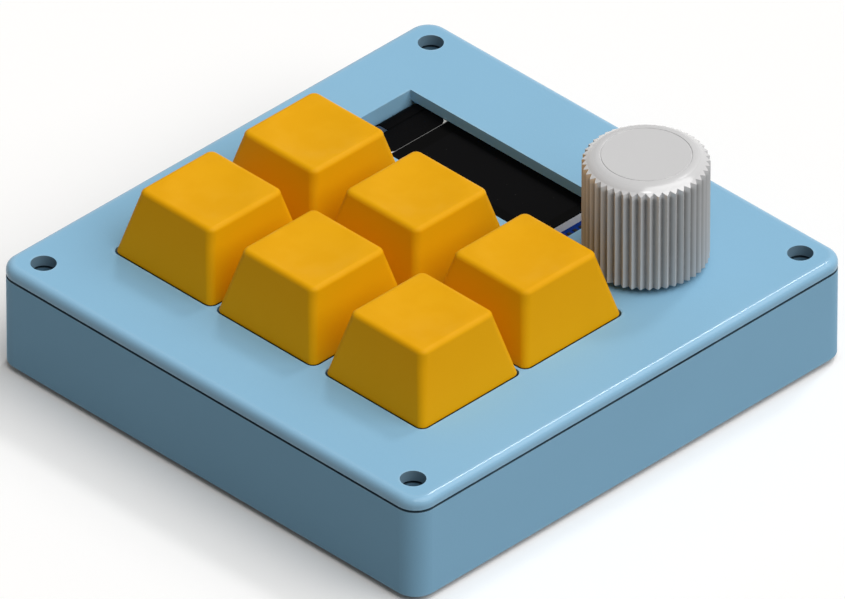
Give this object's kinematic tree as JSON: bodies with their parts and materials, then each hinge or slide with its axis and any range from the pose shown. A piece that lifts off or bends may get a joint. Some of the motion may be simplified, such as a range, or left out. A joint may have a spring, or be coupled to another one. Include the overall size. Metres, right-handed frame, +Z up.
{
  "type": "macro keypad",
  "caption": "Square desktop macro keypad: shallow blue case with amber keycaps on sprung switches, a ribbed push-and-turn knob and a small display in a window.",
  "frame": {"origin": "centre of the case's footprint, in the plane that the rubber feet stand on", "axes": "+X to the user's right, +Y away from the user towards the display and knob, +Z up"},
  "size_m": [0.078, 0.0804, 0.0333],
  "materials": {
    "case_plastic": "printed light-blue plastic, matt",
    "keycap_plastic": "amber moulded plastic, satin",
    "stem_plastic": "amber slippery plastic",
    "switch_cover_plastic": "dark moulded plastic",
    "switch_base_plastic": "black moulded plastic",
    "black_plastic": "black moulded plastic",
    "white_plastic": "white moulded plastic",
    "knob_plastic": "light-grey moulded plastic, satin",
    "aluminium": "turned, bare",
    "steel": "plated sheet",
    "spring_steel": "bright drawn wire",
    "contact_brass": "gold-coloured plating",
    "rubber": "dark rubber, matt",
    "main_board_green": "glass-fibre board with green solder mask",
    "controller_board_black": "glass-fibre board with black solder mask",
    "display_board_blue": "glass-fibre board with blue solder mask",
    "panel_glass": "pale glass panel with polished edges",
    "display_film": "black polariser film",
    "flex_film": "black flexible film"
  },
  "bodies": {
    "case": {"tray": "case_plastic", "lid": "case_plastic", "rubber_feet": "rubber", "main_board": "main_board_green", "board_screws": "steel", "switch_cover_1": "switch_cover_plastic", "switch_cover_2": "switch_cover_plastic", "switch_cover_3": "switch_cover_plastic", "switch_cover_4": "switch_cover_plastic", "switch_cover_5": "switch_cover_plastic", "switch_cover_6": "switch_cover_plastic", "switch_base_1": "switch_base_plastic", "switch_base_2": "switch_base_plastic", "switch_base_3": "switch_base_plastic", "switch_base_4": "switch_base_plastic", "switch_base_5": "switch_base_plastic", "switch_base_6": "switch_base_plastic", "switch_spring_1": "spring_steel", "switch_spring_2": "spring_steel", "switch_spring_3": "spring_steel", "switch_spring_4": "spring_steel", "switch_spring_5": "spring_steel", "switch_spring_6": "spring_steel", "fixed_contacts": "contact_brass", "moving_contacts": "contact_brass", "display_board": "display_board_blue", "display_panel": "panel_glass", "display_face": "display_film", "display_flex": "flex_film", "display_header": "black_plastic", "display_pins": "contact_brass", "encoder_base": "black_plastic", "encoder_frame": "steel", "encoder_bushing": "aluminium", "encoder_pins": "contact_brass", "controller_board": "controller_board_black", "controller_shield": "steel", "controller_buttons": "steel", "usb_shell": "steel", "usb_tongue": "black_plastic"},
    "key_1": {"keycap_1": "keycap_plastic", "switch_stem_1": "stem_plastic"},
    "key_2": {"keycap_2": "keycap_plastic", "switch_stem_2": "stem_plastic"},
    "key_3": {"keycap_3": "keycap_plastic", "switch_stem_3": "stem_plastic"},
    "key_4": {"keycap_4": "keycap_plastic", "switch_stem_4": "stem_plastic"},
    "key_5": {"keycap_5": "keycap_plastic", "switch_stem_5": "stem_plastic"},
    "key_6": {"keycap_6": "keycap_plastic", "switch_stem_6": "stem_plastic"},
    "push_plunger": {"encoder_plunger": "white_plastic"},
    "knob_and_shaft": {"knob": "knob_plastic", "encoder_shaft": "aluminium", "encoder_rotor": "black_plastic"}
  },
  "joints": [
    {"name": "press_key_1", "type": "slide", "parent": "case", "child": "key_1", "axis": [0, 0, -1], "range_m": [0, 0.004], "stiffness_N_per_m": 90, "springref_m": -0.0035, "deforming": ["switch_spring_1"]},
    {"name": "press_key_2", "type": "slide", "parent": "case", "child": "key_2", "axis": [0, 0, -1], "range_m": [0, 0.004], "stiffness_N_per_m": 90, "springref_m": -0.0035, "deforming": ["switch_spring_2"]},
    {"name": "press_key_3", "type": "slide", "parent": "case", "child": "key_3", "axis": [0, 0, -1], "range_m": [0, 0.004], "stiffness_N_per_m": 90, "springref_m": -0.0035, "deforming": ["switch_spring_3"]},
    {"name": "press_key_4", "type": "slide", "parent": "case", "child": "key_4", "axis": [0, 0, -1], "range_m": [0, 0.004], "stiffness_N_per_m": 90, "springref_m": -0.0035, "deforming": ["switch_spring_4"]},
    {"name": "press_key_5", "type": "slide", "parent": "case", "child": "key_5", "axis": [0, 0, -1], "range_m": [0, 0.004], "stiffness_N_per_m": 90, "springref_m": -0.0035, "deforming": ["switch_spring_5"]},
    {"name": "press_key_6", "type": "slide", "parent": "case", "child": "key_6", "axis": [0, 0, -1], "range_m": [0, 0.004], "stiffness_N_per_m": 90, "springref_m": -0.0035, "deforming": ["switch_spring_6"]},
    {"name": "push_knob", "type": "slide", "parent": "case", "child": "push_plunger", "axis": [0, 0, -1], "range_m": [0, 0.0005], "stiffness_N_per_m": 1000, "springref_m": -0.002},
    {"name": "turn_knob", "type": "hinge", "parent": "push_plunger", "child": "knob_and_shaft", "pos_m": [0.02105, 0.0205, 0.009], "axis": [0, 0, 1], "continuous": true}
  ]
}
